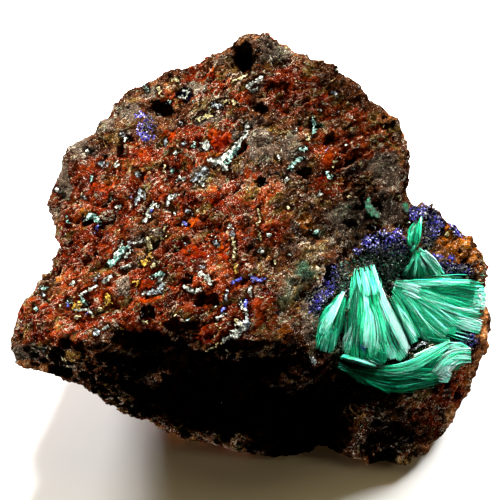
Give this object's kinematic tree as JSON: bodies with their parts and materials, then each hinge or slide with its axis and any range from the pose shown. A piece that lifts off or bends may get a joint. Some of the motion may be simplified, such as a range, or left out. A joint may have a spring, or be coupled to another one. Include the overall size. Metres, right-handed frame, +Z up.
{
  "type": "malachite mineral specimen",
  "caption": "Hand-sized block of brown iron-oxide rock with fans of fibrous green malachite and blue azurite crusts in a hollow at one side; rests on a flat base.",
  "frame": {"origin": "a point on the flat resting face, under the middle of the rock's long side", "axes": "+X along the rock's length towards the lobe with the malachite, +Y away from the malachite's open side towards the summit, +Z up from the resting face"},
  "size_m": [0.076, 0.0572, 0.0446],
  "materials": {
    "gossan": "rough earthy iron oxide with small glints",
    "malachite": "silky fibrous",
    "malachite_pale": "satin crust",
    "azurite": "sparkling fine crystals",
    "druse": "dark glittering fine crystals",
    "quartz": "dull translucent flake"
  },
  "bodies": {
    "root": {"matrix": "gossan", "malachite_fan_center": "malachite", "malachite_fan_left": "malachite", "malachite_fan_right": "malachite", "malachite_sliver": "malachite", "malachite_blade": "malachite", "malachite_splinter": "malachite", "malachite_spray": "malachite", "malachite_leaf": "malachite", "malachite_crescent": "malachite_pale", "malachite_patch": "malachite_pale", "azurite_top": "azurite", "azurite_right": "azurite", "azurite_back": "azurite", "azurite_left": "azurite", "azurite_band": "azurite", "azurite_pocket": "azurite", "azurite_patch": "azurite", "druse": "druse", "grey_flake": "quartz"}
  },
  "joints": []
}
